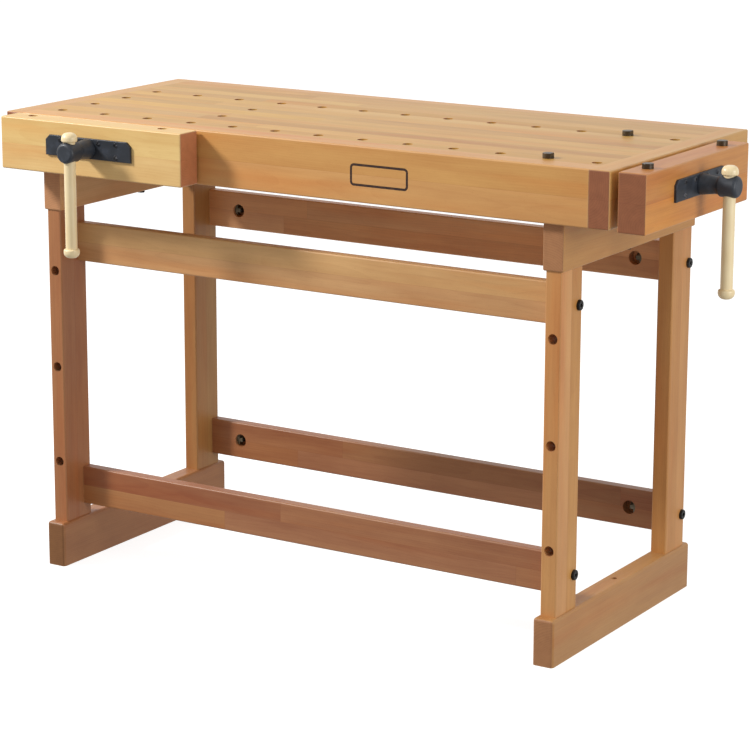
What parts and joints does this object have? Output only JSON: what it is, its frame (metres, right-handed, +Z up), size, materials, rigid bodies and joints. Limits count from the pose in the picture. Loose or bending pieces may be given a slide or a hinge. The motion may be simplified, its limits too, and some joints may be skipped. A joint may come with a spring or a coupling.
{
  "type": "woodworking bench",
  "caption": "Joiner's bench: laminated top with dog holes on two sledge trestles joined by bolted rails, a face vise and an end vise, each with hub, tommy bar and guide rods.",
  "frame": {"origin": "on the floor under the middle of the whole bench, vises included", "axes": "+X along the bench towards the end vise, +Y from the face vise's side to the rear, +Z up"},
  "size_m": [1.4436, 0.6952, 0.9092],
  "materials": {
    "top_beech": "oiled",
    "apron_beech": "oiled",
    "batten_beech": "oiled",
    "jaw_beech": "oiled",
    "frame_beech": "oiled",
    "rail_beech": "oiled",
    "dowel_birch": "raw",
    "black_fasteners": "black oxide",
    "dog_steel": "satin black",
    "hub_black": "satin black",
    "screw_steel": "zinc",
    "bright_steel": "ground",
    "guide_iron": "painted",
    "handle_birch": "clear lacquer"
  },
  "bodies": {
    "bench": {"end_guide_block": "guide_iron", "end_guide_screws": "screw_steel", "front_apron": "apron_beech", "front_guide_block": "guide_iron", "front_guide_screws": "screw_steel", "left_bearer": "frame_beech", "left_cross_rib": "batten_beech", "left_end_batten": "batten_beech", "left_foot": "frame_beech", "left_front_leg": "frame_beech", "left_rear_leg": "frame_beech", "lower_front_rail": "rail_beech", "lower_rear_rail": "rail_beech", "rail_bolts": "black_fasteners", "rail_dowels": "dowel_birch", "rail_nuts": "black_fasteners", "rail_washers": "black_fasteners", "rear_apron": "apron_beech", "right_bearer": "frame_beech", "right_cross_rib": "batten_beech", "right_end_batten": "batten_beech", "right_foot": "frame_beech", "right_front_leg": "frame_beech", "right_rear_leg": "frame_beech", "top_bolts": "black_fasteners", "top_washers": "black_fasteners", "upper_front_rail": "rail_beech", "upper_rear_rail": "rail_beech", "worktop_slab": "top_beech"},
    "front_jaw": {"front_jaw": "jaw_beech", "front_face_plate": "hub_black", "front_plate_screws": "screw_steel", "front_guide_rods": "bright_steel", "front_guide_yoke": "guide_iron"},
    "front_screw": {"front_vise_screw": "bright_steel", "front_vise_hub": "hub_black", "front_screw_collar": "bright_steel"},
    "front_handle": {"front_handle_bar": "handle_birch", "front_handle_upper_knob": "handle_birch", "front_handle_lower_knob": "handle_birch"},
    "end_jaw": {"end_jaw": "jaw_beech", "end_face_plate": "hub_black", "end_plate_screws": "screw_steel", "end_guide_rods": "bright_steel", "end_guide_yoke": "guide_iron"},
    "end_screw": {"end_vise_screw": "bright_steel", "end_vise_hub": "hub_black", "end_screw_collar": "bright_steel"},
    "end_handle": {"end_handle_bar": "handle_birch", "end_handle_upper_knob": "handle_birch", "end_handle_lower_knob": "handle_birch"},
    "front_left_dog": {"front_left_dog": "dog_steel"},
    "rear_left_dog": {"rear_left_dog": "dog_steel"},
    "front_right_dog": {"front_right_dog": "dog_steel"},
    "rear_right_dog": {"rear_right_dog": "dog_steel"}
  },
  "joints": [
    {"name": "front_screw_turn", "type": "hinge", "parent": "front_jaw", "child": "front_screw", "pos_m": [-0.47785, -0.27155, 0.8553], "axis": [0, -1, 0], "range_deg": [-360, 10353.6]},
    {"name": "front_jaw_slide", "type": "slide", "parent": "bench", "child": "front_jaw", "axis": [0, -1, 0], "range_m": [-0.00505, 0.14385]},
    {"name": "front_handle_slide", "type": "slide", "parent": "front_screw", "child": "front_handle", "axis": [0, 0, 1], "range_m": [0, 0.161]},
    {"name": "end_screw_turn", "type": "hinge", "parent": "end_jaw", "child": "end_screw", "pos_m": [0.64585, -0.00345, 0.8553], "axis": [1, 0, 0], "range_deg": [-720, 9734.4]},
    {"name": "end_jaw_slide", "type": "slide", "parent": "bench", "child": "end_jaw", "axis": [1, 0, 0], "range_m": [-0.01005, 0.13525]},
    {"name": "end_handle_slide", "type": "slide", "parent": "end_screw", "child": "end_handle", "axis": [0, 0, 1], "range_m": [0, 0.161]},
    {"name": "front_left_dog_lift", "type": "slide", "parent": "bench", "child": "front_left_dog", "axis": [0, 0, 1], "range_m": [0, 0.06]},
    {"name": "rear_left_dog_lift", "type": "slide", "parent": "bench", "child": "rear_left_dog", "axis": [0, 0, 1], "range_m": [0, 0.06]},
    {"name": "front_right_dog_lift", "type": "slide", "parent": "end_jaw", "child": "front_right_dog", "axis": [0, 0, 1], "range_m": [0, 0.06]},
    {"name": "rear_right_dog_lift", "type": "slide", "parent": "end_jaw", "child": "rear_right_dog", "axis": [0, 0, 1], "range_m": [0, 0.06]}
  ],
  "couplings": [
    {"joint": "front_jaw_slide", "follows": "front_screw_turn", "m_per_rad": 0.00079577},
    {"joint": "end_jaw_slide", "follows": "end_screw_turn", "m_per_rad": 0.00079577}
  ]
}
